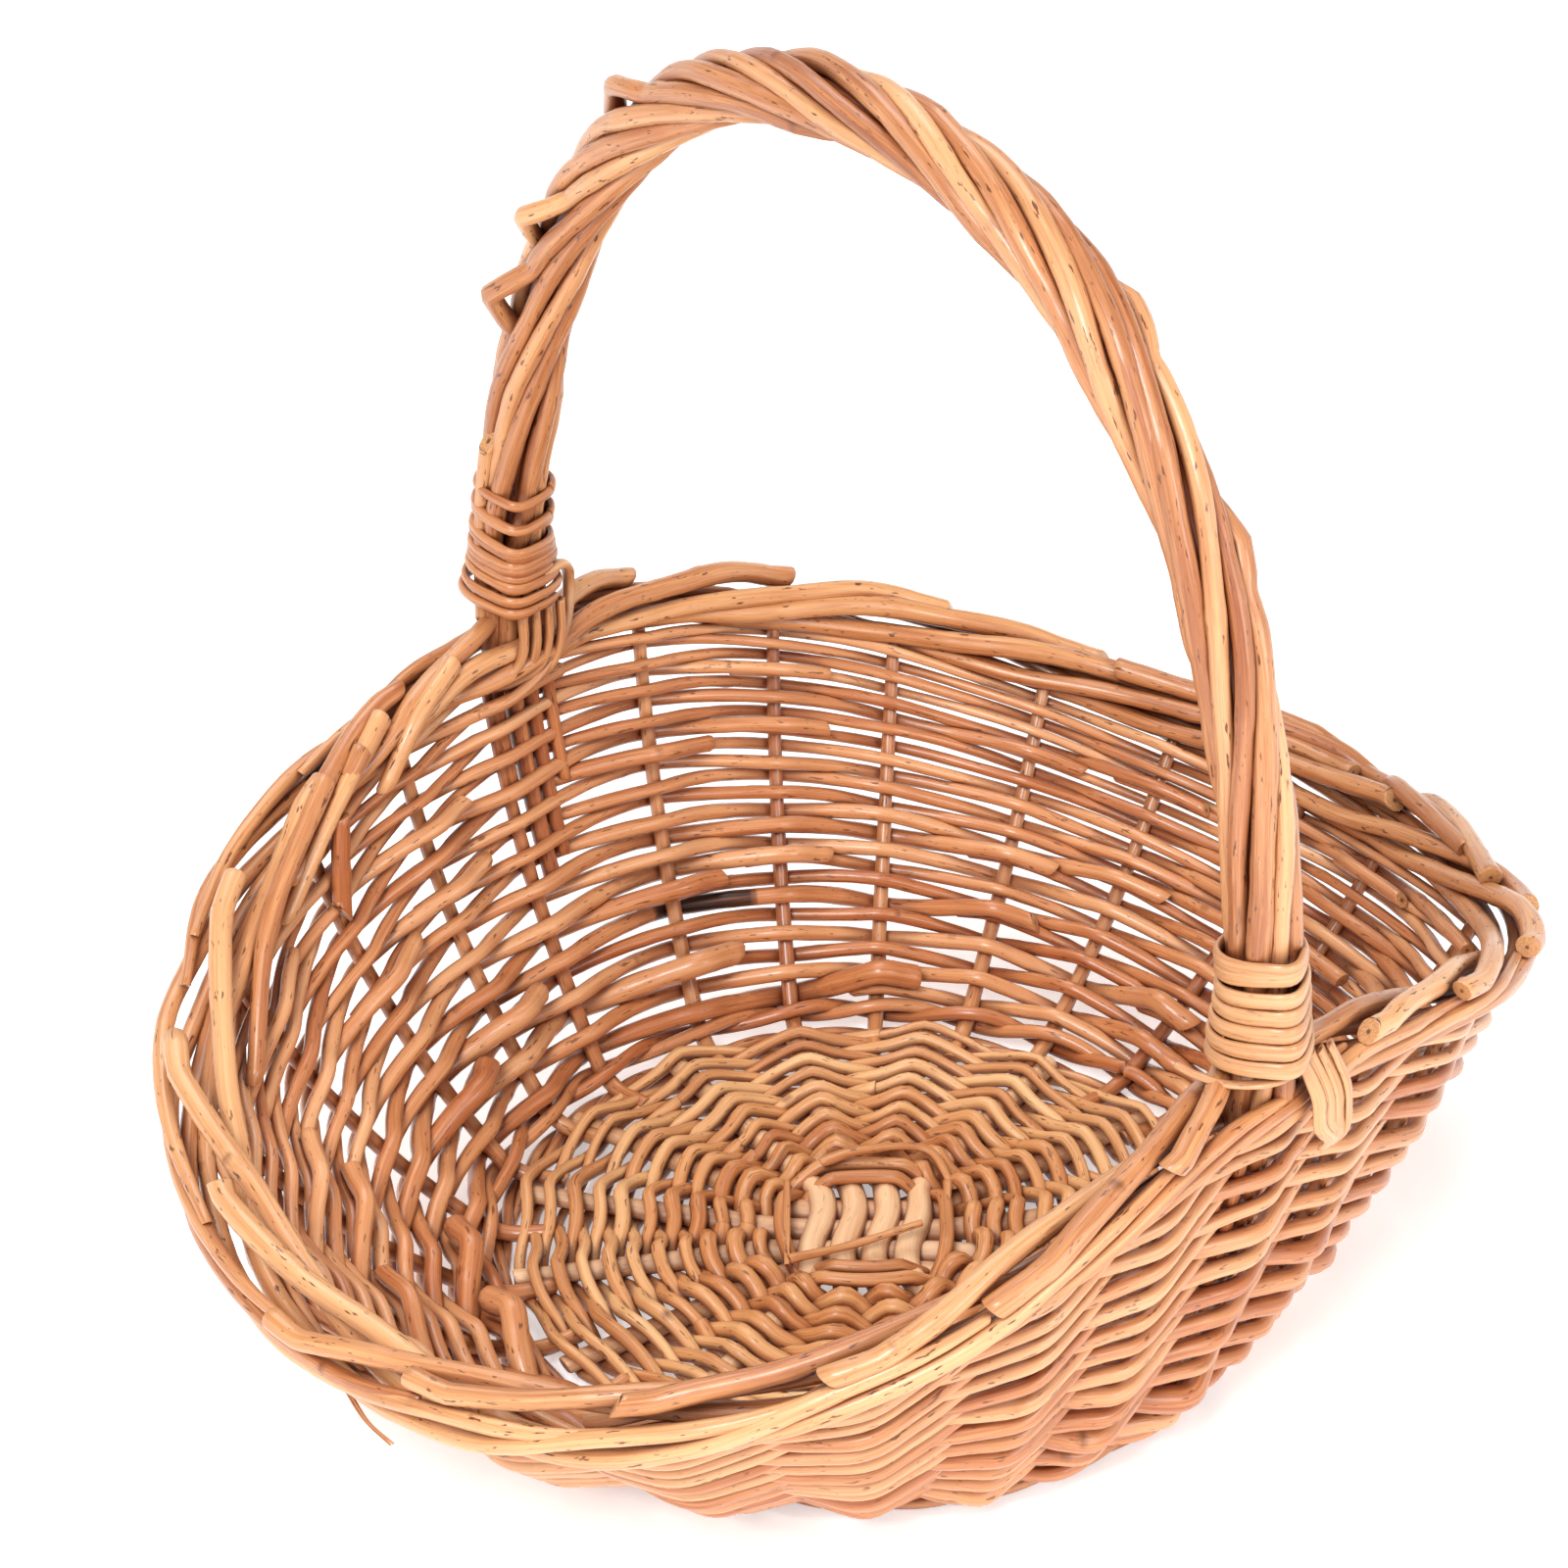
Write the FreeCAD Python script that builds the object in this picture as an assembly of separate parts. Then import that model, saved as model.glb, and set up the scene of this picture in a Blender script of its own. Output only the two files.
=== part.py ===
import FreeCAD, Part
import math
import os

# A free-standing oval willow fruit basket with a fixed twisted handle. Millimetres and degrees.
# +X runs along the basket's long axis, +Y from the near handle foot to the far one, +Z is up.
# The origin is on the ground, under the middle of the rim. The round base's middle lies a little
# nearer to the near handle foot; shapes are drawn round it and moved into place as they are saved.
# Azimuths are counted anticlockwise from +X, seen from above.

Vector = FreeCAD.Vector

# ---- basket shape ----------------------------------------------------------------------------
base_radius = 100.0          # circle in which the stakes leave the base
slant_at_handle = 128.5      # stake length from base to border middle, beside the handle
slant_at_ends = 100.5        # the same, at the two long ends
lean_at_handle = 17.7        # how far the wall leans out from upright, beside the handle
lean_at_ends = 49.0          # the same, at the two long ends
lean_between = 2.2           # extra lean midway between handle and ends
lean_far_side = 2.3          # extra lean at the far handle foot, and as much less at the near one
lean_skew = 2.2              # extra lean on one diagonal, and as much less on the other
wall_bulge = 6.9             # how far the wall swells out of its straight slant

# ---- rods ------------------------------------------------------------------------------------
clearance = 0.35             # air between rods that lie against each other
stake_count = 24
first_stake = 2.0            # azimuth of the first stake
stake_radius = 2.1
weaver_low_radius = 2.6      # weavers of the lowest side row
weaver_top_radius = 1.65     # weavers of the top side row
row_gap = 0.4                # air between one row of weaving and the next
end_gap = 0.6                # air between the cut end of a rod and the next rod's end
wale_radius = 2.4            # the single round that clasps the stakes at the base

# ---- base ------------------------------------------------------------------------------------
base_level = 8.0             # height of the base sticks' axes above the ground
base_stick_radius = 3.4
base_stick_turn = 48.3       # azimuth of the split sticks
sticks_each_way = 4
slath_gap = 2.2              # air between neighbouring sticks where they cross
slot_leaf = 1.7              # wood left above and below the slot of a split stick
base_weaver_radius = 1.8
foot_radius = 2.8            # rod of the foot ring
foot_flat = 0.3              # depth worn off its underside

# ---- border ----------------------------------------------------------------------------------
border_strands = 5           # rods side by side in the border's rope
border_rod_radius = 2.85
border_start_angle = 40.0    # where a border rod starts round the rope, counted from outwards to up
border_step_out = 9.0        # how far the border steps out to pass the handle's legs
border_step_width = 11.0     # half-width of that step, in degrees of azimuth

# ---- handle ----------------------------------------------------------------------------------
handle_top = 331.5           # height of the bow's axis at its top
handle_top_shift = -2.0      # how far the top lies towards the near foot
arch_fullness = 2.2          # exponent of the arch: 2 is an ellipse, more is squarer
bow_radius = 4.0
bow_depth = 0.86             # share of the wall down which the bow's legs are pushed
handle_rod_count = 8
handle_rod_radius = 2.3
handle_rod_gap = 0.55        # air between neighbouring twisted rods, which narrows where they slant
handle_rod_rise = 1.6        # air between the border and the ends of the twisted rods
handle_turns = 2.5           # turns of the twisted rods from foot to foot
binding_turns = 7
binding_split_radius = 1.3
tie_turns = 3
tie_split_radius = 1.1

# ---- worked out from the sizes above ---------------------------------------------------------
stake_pitch = 360.0 / stake_count
base_swing = base_stick_radius + base_weaver_radius + clearance
base_stick_ends = 4 * sticks_each_way
foot_ring_radius = base_radius - 2.5
rope_radius = (border_rod_radius + clearance / 2) / math.sin(math.pi / border_strands)
border_radius = rope_radius + border_rod_radius
twist_radius = (handle_rod_radius + handle_rod_gap / 2) / math.sin(math.pi / handle_rod_count)
twist_radius = max(twist_radius, bow_radius + handle_rod_radius + clearance)
bundle_radius = twist_radius + handle_rod_radius
stations_per_gap = 4         # control points of a rod from one stake to the next
round_points = 8             # control points round a rod


def cosd(angle):
    return math.cos(math.radians(angle))


def sind(angle):
    return math.sin(math.radians(angle))


# A cubic B-spline runs inside its control points: these give back the lost radius and swing.
round_gain = 3.0 / (2.0 + cosd(360.0 / round_points))
swing_gain = 3.0 / (2.0 + cosd(180.0 / stations_per_gap))


def rod(points, radius, closed=False):
    """A round willow rod: a tube whose control rings stand square to the line of points."""
    count = len(points)
    rings = []
    side = Vector(0, 0, 1)
    for i, point in enumerate(points):
        if closed:
            along = points[(i + 1) % count] - points[i - 1]
        else:
            along = points[min(i + 1, count - 1)] - points[max(i - 1, 0)]
        along.normalize()
        up = side - along * side.dot(along)
        if up.Length < 0.05:
            up = Vector(1, 0, 0) - along * along.x
        up.normalize()
        if not closed:
            side = up
        across = along.cross(up)
        ring = []
        for j in range(round_points):
            turn = 360.0 * j / round_points
            ring.append(point + (across * cosd(turn) + up * sind(turn)) * (radius * round_gain))
        rings.append(ring)
    surface = Part.BSplineSurface()
    round_knots = list(range(round_points + 1))
    if closed:
        knots = list(range(count + 1))
        surface.buildFromPolesMultsKnots(
            rings, [1] * len(knots), [1] * len(round_knots), knots, round_knots, True, True, 3, 3)
        return Part.Solid(Part.Shell([surface.toShape()]))
    knots = list(range(count - 2))
    mults = [4] + [1] * (count - 4) + [4]
    surface.buildFromPolesMultsKnots(
        rings, mults, [1] * len(round_knots), knots, round_knots, False, True, 3, 3)
    faces = [surface.toShape()]
    for end in (knots[0], knots[-1]):
        faces.append(Part.Face(Part.Wire([surface.uIso(end).toShape()])))
    shell = Part.Shell(faces)
    shell.sewShape()
    solid = Part.Solid(shell)
    if solid.Volume < 0:
        solid.reverse()
    return solid


def save(name, solids):
    """Write one sub-part, a single solid or a group of like solids, in its place from the rim's middle."""
    shape = Part.makeCompound(solids) if len(solids) > 1 else solids[0].copy()
    shape.translate(Vector(0, -rim_middle, 0))
    shape.exportStep("parts/" + name + ".step")


# ---- the wall's surface, in which the stakes lie ---------------------------------------------

def wall_lean(azimuth):
    ends = cosd(azimuth) ** 2
    lean = lean_at_handle + (lean_at_ends - lean_at_handle) * ends
    lean += lean_between * sind(2 * azimuth) ** 2
    lean += lean_far_side * sind(azimuth)
    return lean + lean_skew * sind(2 * azimuth)


def wall_slant(azimuth):
    return slant_at_handle + (slant_at_ends - slant_at_handle) * cosd(azimuth) ** 2


def wall(azimuth, share):
    """A point of the wall, share 0 at the base and 1 at the border's middle."""
    lean = wall_lean(azimuth)
    slant = wall_slant(azimuth) * share
    swell = wall_bulge * 4.0 * share * (1.0 - share)
    radius = base_radius + slant * sind(lean) + swell * cosd(lean)
    height = base_level + slant * cosd(lean) - swell * sind(lean)
    return Vector(radius * cosd(azimuth), radius * sind(azimuth), height)


def wall_outward(azimuth, share):
    """The wall's unit normal, pointing out of the basket."""
    step = 0.01
    along = wall(azimuth + 1.0, share) - wall(azimuth - 1.0, share)
    up = wall(azimuth, share + step) - wall(azimuth, share - step)
    normal = along.cross(up)
    normal.normalize()
    return normal


# ---- base ------------------------------------------------------------------------------------

slath_pitch = 2 * base_stick_radius + slath_gap
slath_half = slath_pitch * (sticks_each_way - 1) / 2 + base_stick_radius
bend_room = 2.95             # gap between stick ends over stick and weaver radii, for a weaver to bend
first_round_radius = base_stick_ends * bend_room * (base_stick_radius + base_weaver_radius) / (2 * math.pi)
last_round_radius = foot_ring_radius - foot_radius - clearance - base_weaver_radius
round_pairs = int(((last_round_radius - first_round_radius) / (2 * base_weaver_radius + row_gap) + 1) / 2)
round_pitch = (last_round_radius - first_round_radius) / (2 * round_pairs - 1)
stick_reach = foot_ring_radius - foot_radius - clearance


def base_stick(place, turn):
    """One base stick: straight where the sticks cross, its ends fanned out evenly."""
    offset = (place - (sticks_each_way - 1) / 2) * slath_pitch
    fan = (place - (sticks_each_way - 1) / 2) * 360.0 / base_stick_ends
    half = [Vector(0.0, offset, 0.0), Vector(slath_half * 0.5, offset, 0.0)]
    half.append(Vector(slath_half * 0.95, offset, 0.0))
    for share in (0.0, 0.25, 0.5, 0.75, 1.0):
        reach = first_round_radius + (stick_reach - first_round_radius) * share
        half.append(Vector(reach * cosd(fan), reach * sind(fan), 0.0))
    line = [Vector(-p.x, p.y, 0.0) for p in reversed(half[1:])] + half
    stick = rod(line, base_stick_radius)
    return placed(stick, turn)


def placed(shape, turn):
    shape = shape.copy()
    shape.rotate(Vector(0, 0, 0), Vector(0, 0, 1), turn)
    shape.translate(Vector(0, 0, base_level))
    return shape


def flat_block(length, width, low, high):
    return Part.makeBox(length, width, high - low, Vector(-length / 2, -width / 2, low))


def make_base_sticks():
    tongue = base_stick_radius - slot_leaf
    slot_length = 2 * slath_half + 2 * clearance
    slot = flat_block(slot_length, 4 * slath_half, -tongue, tongue)
    tongue_low = -tongue + clearance
    tongue_length = 2 * slath_half + 4 * clearance
    tall = 2 * base_stick_radius
    above = flat_block(tongue_length, 4 * slath_half, -tongue_low, tall)
    below = flat_block(tongue_length, 4 * slath_half, -tall, tongue_low)
    for place in range(sticks_each_way):
        split = base_stick(place, base_stick_turn).cut(placed(slot, base_stick_turn))
        save("base_split_stick_%d" % (place + 1), split.Solids)
        turn = base_stick_turn + 90.0
        through = base_stick(place, turn)
        through = through.cut(placed(above, turn)).cut(placed(below, turn))
        save("base_through_stick_%d" % (place + 1), through.Solids)


def base_strand(number):
    """One strand of the base weave: over one stick end, under the next."""
    radius = first_round_radius + number * round_pitch
    side = 1.0 if number % 2 == 0 else -1.0
    points = []
    steps = base_stick_ends * stations_per_gap
    for i in range(steps):
        azimuth = 360.0 * i / steps
        wave = cosd((azimuth - base_stick_turn - 180.0 / base_stick_ends) * base_stick_ends / 2)
        height = base_level + side * base_swing * swing_gain * wave
        points.append(Vector(radius * cosd(azimuth), radius * sind(azimuth), height))
    return rod(points, base_weaver_radius, closed=True)


def make_base_weave():
    for pair in range(round_pairs):
        save("base_weave_%d" % (pair + 1), [base_strand(2 * pair), base_strand(2 * pair + 1)])


def make_foot_ring():
    """The round on which the basket stands, with its underside worn flat at the ground."""
    ring = Part.makeTorus(foot_ring_radius, foot_radius, Vector(0, 0, foot_radius - foot_flat))
    ground = Part.makeBox(4 * base_radius, 4 * base_radius, base_radius,
                          Vector(-2 * base_radius, -2 * base_radius, -base_radius))
    save("foot_ring", ring.cut(ground).Solids)


# ---- wall ------------------------------------------------------------------------------------

upsett_share = 0.02
first_row_share = upsett_share + (wale_radius + weaver_low_radius + clearance) / slant_at_ends
tie_room = 2 * tie_split_radius + 2 * clearance
top_row_share = 1.0 - (border_radius + tie_room + weaver_top_radius) / slant_at_ends
row_pitch = weaver_low_radius + weaver_top_radius + row_gap
row_steps = int((top_row_share - first_row_share) * slant_at_ends / row_pitch)


def row_radius(row):
    """The weavers thin evenly from the lowest row to the top one."""
    return weaver_low_radius + (weaver_top_radius - weaver_low_radius) * row / row_steps


def row_share(row):
    """Where a row lies up the wall: rows of thicker weavers stand further apart."""
    reach = row * (2 * weaver_low_radius + row_gap)
    reach += (weaver_top_radius - weaver_low_radius) * row ** 2 / row_steps
    return first_row_share + (top_row_share - first_row_share) * reach / (row_steps * row_pitch)


def make_stakes():
    """The upright stakes, in four groups: each ends just under the border."""
    group_size = stake_count // 4
    for group in range(4):
        stakes = []
        for i in range(group_size):
            azimuth = first_stake + (group * group_size + i) * stake_pitch
            top = 1.0 - (border_radius + clearance) / wall_slant(azimuth)
            line = [wall(azimuth, top * step / 7.0) for step in range(8)]
            stakes.append(rod(line, stake_radius))
        save("stakes_%d" % (group + 1), stakes)


def make_upsett():
    """The round that clasps the stakes where they leave the base."""
    steps = stake_count * 2
    points = []
    for i in range(steps):
        azimuth = 360.0 * i / steps
        out = stake_radius + wale_radius + clearance
        points.append(wall(azimuth, upsett_share) + wall_outward(azimuth, upsett_share) * out)
    save("upsett_round", [rod(points, wale_radius, closed=True)])


def weaver(row, start):
    """A weaver of one row: behind one stake, outside the next, and behind the one after."""
    share = row_share(row)
    radius = row_radius(row)
    middle = first_stake + (start + 1) * stake_pitch
    place = wall(middle, share)
    trim = math.degrees(end_gap / 2 / math.hypot(place.x, place.y))
    reach = stake_pitch - trim
    steps = 2 * stations_per_gap
    points = []
    for i in range(steps + 1):
        turn = reach * (2.0 * i / steps - 1.0)
        swing = (stake_radius + radius + clearance) * cosd(180.0 * turn / stake_pitch)
        if 0 < i < steps:
            swing *= swing_gain
        azimuth = middle + turn
        points.append(wall(azimuth, share) + wall_outward(azimuth, share) * swing)
    return rod(points, radius)


def make_side_rows():
    for row in range(row_steps + 1):
        rods = [weaver(row, start + row % 2) for start in range(0, stake_count, 2)]
        save("side_row_%02d" % (row + 1), rods)


# ---- border ----------------------------------------------------------------------------------

def border_middle(azimuth):
    """The middle of the border's rope, which steps out to pass the handle's legs."""
    step = 0.0
    for foot in (90.0, -90.0):
        away = (azimuth - foot + 180.0) % 360.0 - 180.0
        step += border_step_out * math.exp(-(away / border_step_width) ** 2)
    outward = Vector(cosd(azimuth), sind(azimuth), 0)
    return wall(azimuth, 1.0) + outward * step


rim_middle = (border_middle(90.0).y + border_middle(-90.0).y) / 2


def round_border(azimuth, angle, radius):
    """A point at radius from the border's middle; angle 0 is outwards and 90 is up."""
    along = border_middle(azimuth + 0.5) - border_middle(azimuth - 0.5)
    along.normalize()
    up = Vector(0, 0, 1) - along * along.z
    up.normalize()
    out = along.cross(up)
    return border_middle(azimuth) + (out * cosd(angle) + up * sind(angle)) * radius


def border_rod(number):
    """A border rod makes one turn of the rope, from outside over the top to the inside and under."""
    start = first_stake + number * stake_pitch
    span = border_strands * stake_pitch
    middle = border_middle(start + span / 2)
    trim = math.degrees(end_gap / 2 / math.hypot(middle.x, middle.y))
    steps = border_strands * stations_per_gap
    points = []
    for i in range(steps + 1):
        turn = trim + (span - 2 * trim) * i / steps
        angle = border_start_angle + 360.0 * turn / span
        points.append(round_border(start + turn, angle, rope_radius))
    return rod(points, border_rod_radius)


def make_border():
    """The border's rods, in six groups spread evenly round the rim."""
    for group in range(6):
        rods = [border_rod(number) for number in range(group, stake_count, 6)]
        save("border_rods_%d" % (group + 1), rods)


# ---- handle ----------------------------------------------------------------------------------

leg_inset = stake_radius + 2 * weaver_low_radius + 2 * clearance + bow_radius
foot_inset = border_radius + bow_radius + 2 * clearance - border_step_out


def bow_foot(azimuth):
    """Where the bow's axis passes the level of the border's middle."""
    inward = Vector(-cosd(azimuth), -sind(azimuth), 0)
    return wall(azimuth, 1.0) + inward * foot_inset


far_foot = bow_foot(90.0)
near_foot = bow_foot(-90.0)


def arch(angle):
    """A point of the bow's axis above the border: 0 at the far foot, 180 at the near one."""
    reach = math.copysign(abs(cosd(angle)) ** (2.0 / arch_fullness), cosd(angle))
    rise = abs(sind(angle)) ** (2.0 / arch_fullness)
    half = (far_foot.y - near_foot.y) / 2
    foot_level = (far_foot.z * (1.0 + reach) + near_foot.z * (1.0 - reach)) / 2
    y = (far_foot.y + near_foot.y) / 2 + half * reach + handle_top_shift * rise
    return Vector(0.0, y, foot_level + (handle_top - foot_level) * rise)


def even_arch(low_angle, high_angle, count):
    """Points evenly spaced along the arch."""
    fine = 400
    line = [arch(low_angle + (high_angle - low_angle) * i / fine) for i in range(fine + 1)]
    lengths = [0.0]
    for a, b in zip(line, line[1:]):
        lengths.append(lengths[-1] + (b - a).Length)
    points = []
    place = 0
    for i in range(count):
        wanted = lengths[-1] * i / (count - 1)
        while place < fine - 1 and lengths[place + 1] < wanted:
            place += 1
        share = (wanted - lengths[place]) / (lengths[place + 1] - lengths[place])
        points.append(line[place] + (line[place + 1] - line[place]) * share)
    return points


def bow_leg(azimuth):
    """The bow's axis down the inside of the wall, from under the border to its end."""
    points = []
    for step in range(6):
        share = 0.86 - bow_depth * 0.9 * step / 5.0
        points.append(wall(azimuth, share) - wall_outward(azimuth, share) * leg_inset)
    return points


def angle_at_height(level, foot, side):
    """The arch's angle where its axis is level above the foot."""
    low, high = 0.0, 60.0
    for _ in range(40):
        middle = (low + high) / 2
        point = arch(middle if side > 0 else 180.0 - middle)
        if point.z - foot.z < level:
            low = middle
        else:
            high = middle
    return low if side > 0 else 180.0 - low


bundle_start = border_radius + handle_rod_rise


def make_bow():
    """The thick rod at the heart of the handle, both its ends pushed down inside the wall."""
    over = even_arch(angle_at_height(bow_radius, far_foot, 1),
                     angle_at_height(bow_radius, near_foot, -1), 56)
    line = list(reversed(bow_leg(90.0))) + over + bow_leg(-90.0)
    save("handle_bow", [rod(line, bow_radius)])


def make_handle_rods():
    """The rods twisted round the bow: straight at the feet, turning most over the top."""
    count = 72
    over = even_arch(angle_at_height(bundle_start, far_foot, 1),
                     angle_at_height(bundle_start, near_foot, -1), count)
    sideways = Vector(1, 0, 0)
    for number in range(handle_rod_count):
        points = []
        for i, middle in enumerate(over):
            share = i / (count - 1.0)
            turns = handle_turns * share * share * (3.0 - 2.0 * share)
            angle = -360.0 * (turns + number / handle_rod_count)
            along = over[min(i + 1, count - 1)] - over[max(i - 1, 0)]
            along.normalize()
            out = along.cross(sideways)
            points.append(middle + (out * cosd(angle) + sideways * sind(angle)) * twist_radius)
        save("handle_rod_%d" % (number + 1), [rod(points, handle_rod_radius)])


def make_binding(name, foot, side):
    """The split willow wound round the foot of the handle."""
    radius = bundle_radius + binding_split_radius + clearance
    pitch = 2 * binding_split_radius + clearance
    per_turn = 12
    points = []
    first = bundle_start + binding_split_radius + 2 * clearance
    for i in range(binding_turns * per_turn + 1):
        level = first + pitch * i / per_turn
        axis = arch(angle_at_height(level, foot, side))
        turn = 360.0 * i / per_turn
        gain = 3.0 / (2.0 + cosd(360.0 / per_turn))
        points.append(axis + Vector(cosd(turn), sind(turn), 0) * (radius * gain))
    save(name, [rod(points, binding_split_radius)])


def make_tie(name, foot_azimuth):
    """The end of the binding, wound round the border midway between two stakes."""
    gap = math.floor((foot_azimuth - first_stake) / stake_pitch) + 0.5
    middle = first_stake + gap * stake_pitch
    radius = border_radius + tie_split_radius + clearance
    run = border_middle(middle)
    pitch = math.degrees((2 * tie_split_radius + clearance) / math.hypot(run.x, run.y))
    per_turn = 12
    points = []
    for i in range(tie_turns * per_turn + 1):
        turns = i / per_turn
        gain = 3.0 / (2.0 + cosd(360.0 / per_turn))
        azimuth = middle + (turns - tie_turns / 2.0) * pitch
        points.append(round_border(azimuth, 360.0 * turns, radius * gain))
    save(name, [rod(points, tie_split_radius)])


os.makedirs("parts", exist_ok=True)
make_base_sticks()
make_base_weave()
make_foot_ring()
make_upsett()
make_stakes()
make_side_rows()
make_border()
make_bow()
make_handle_rods()
make_binding("handle_binding_far", far_foot, 1)
make_binding("handle_binding_near", near_foot, -1)
make_tie("handle_tie_far", 90.0)
make_tie("handle_tie_near", -90.0)
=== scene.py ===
import math

import bpy
import numpy as np
from mathutils import Matrix, Vector


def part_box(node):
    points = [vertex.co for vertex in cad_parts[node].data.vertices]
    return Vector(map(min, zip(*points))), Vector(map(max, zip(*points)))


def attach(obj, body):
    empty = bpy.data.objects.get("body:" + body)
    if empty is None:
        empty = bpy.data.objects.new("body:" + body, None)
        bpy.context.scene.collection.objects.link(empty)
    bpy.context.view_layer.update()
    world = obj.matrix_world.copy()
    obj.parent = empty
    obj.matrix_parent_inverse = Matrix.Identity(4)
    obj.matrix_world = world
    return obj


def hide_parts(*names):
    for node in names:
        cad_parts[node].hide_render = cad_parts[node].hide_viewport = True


# An oval willow fruit basket with a fixed twisted handle, woven rod by rod over the CAD frame.
# Sizes are in millimetres and degrees until a mesh is made, in the frame of the CAD part:
# +X along the basket, +Y towards the far handle foot, +Z up. They count from the ground under the
# middle of the round base; each mesh is moved from there into the frame as it is made.

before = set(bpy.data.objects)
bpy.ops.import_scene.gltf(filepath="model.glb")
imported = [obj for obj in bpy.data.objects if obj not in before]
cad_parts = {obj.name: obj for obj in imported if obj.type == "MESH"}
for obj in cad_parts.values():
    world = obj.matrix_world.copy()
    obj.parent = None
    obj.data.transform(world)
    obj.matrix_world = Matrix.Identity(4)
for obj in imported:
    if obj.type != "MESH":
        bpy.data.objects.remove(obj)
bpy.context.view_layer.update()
foot_low, foot_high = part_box("foot_ring")
base_middle = np.array([0.0, (foot_low.y + foot_high.y) / 2, 0.0])   # the round base's middle, in metres
chance = np.random.default_rng(20)

# ---- the wall, as in the CAD part --------------------------------------------------------------
base_radius = 100.0
slant_at_handle, slant_at_ends = 128.5, 100.5
lean_at_handle, lean_at_ends = 17.7, 49.0
lean_between, lean_far_side, lean_skew = 2.2, 2.3, 2.2
wall_bulge = 6.9
base_level = 8.0
stake_count = 24
first_stake = 2.0
stake_pitch = 360.0 / stake_count


def cosd(a):
    return np.cos(np.radians(a))


def sind(a):
    return np.sin(np.radians(a))


def unit(v):
    return v / np.maximum(np.linalg.norm(v, axis=-1, keepdims=True), 1e-9)


def ease(x, low, high):
    """0 below low, 1 above high, smooth between."""
    t = np.clip((x - low) / (high - low), 0.0, 1.0)
    return t * t * (3.0 - 2.0 * t)


def turn_from(az, middle):
    """Degrees from one azimuth to another, -180 to 180."""
    return (az - middle + 180.0) % 360.0 - 180.0


def bell(x, middle, width):
    return np.exp(-(((x - middle) / width) ** 2))


def weave(phase, crisp=1.0):
    """The swing of a rod round the stakes: straight runs with a short bend at each stake, -1 to 1."""
    wave = np.cos(phase) + crisp * (0.115 * np.cos(3 * phase) + 0.035 * np.cos(5 * phase))
    return wave / (1.0 + 0.15 * crisp)


def wall_slant(az):
    return slant_at_handle + (slant_at_ends - slant_at_handle) * cosd(az) ** 2


def wall(az, share):
    """Points of the surface in which the stakes lie: share 0 at the base, 1 at the border's middle."""
    lean = lean_at_handle + (lean_at_ends - lean_at_handle) * cosd(az) ** 2
    lean = lean + lean_between * sind(2 * az) ** 2 + lean_far_side * sind(az) + lean_skew * sind(2 * az)
    slant = wall_slant(az) * share
    swell = wall_bulge * 4.0 * share * (1.0 - share)
    r = base_radius + slant * sind(lean) + swell * cosd(lean)
    z = base_level + slant * cosd(lean) - swell * sind(lean)
    return np.stack([r * cosd(az), r * sind(az), z], -1)


def wall_out(az, share):
    along = wall(az + 1.0, share) - wall(az - 1.0, share)
    up = wall(az, share + 0.01) - wall(az, share - 0.01)
    return unit(np.cross(along, up))


def wall_up(az, share):
    return unit(wall(az, share + 0.01) - wall(az, share - 0.01))


# ---- meshes of rods ----------------------------------------------------------------------------
# knots: the first one's distance from the butt, the distance between them, and how far they swell
first_knot, knot_gap, knot_swell = (10, 70), (45, 120), (0.06, 0.17)
knot_length = 2.2


def ripple(s, wave):
    """Smooth chance wandering along s, about -1 to 1."""
    total = np.zeros_like(s, dtype=float)
    for share in (1.0, 0.62, 0.37):
        total += share * np.sin(2 * np.pi * s / (wave * share) + chance.uniform(0, 2 * np.pi))
    return total / 1.5


def smooth_line(points, step=2.5):
    """A curve through a few points (Catmull-Rom), resampled at even steps."""
    p = np.asarray(points, float)
    p = np.vstack([2 * p[0] - p[1], p, 2 * p[-1] - p[-2]])
    out = []
    for i in range(1, len(p) - 2):
        t = np.linspace(0, 1, 16, endpoint=False)[:, None]
        a, b, c, d = p[i - 1:i + 3]
        out.append(0.5 * (2 * b + (c - a) * t + (2 * a - 5 * b + 4 * c - d) * t ** 2
                          + (3 * b - a - 3 * c + d) * t ** 3))
    line = np.vstack(out + [p[-2:-1]])
    return even(line, step)


def even(line, step=2.5):
    length = np.concatenate([[0.0], np.cumsum(np.linalg.norm(np.diff(line, axis=0), axis=1))])
    count = max(4, int(length[-1] / step) + 1)
    at = np.linspace(0, length[-1], count)
    return np.stack([np.interp(at, length, line[:, k]) for k in range(3)], -1)


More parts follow.
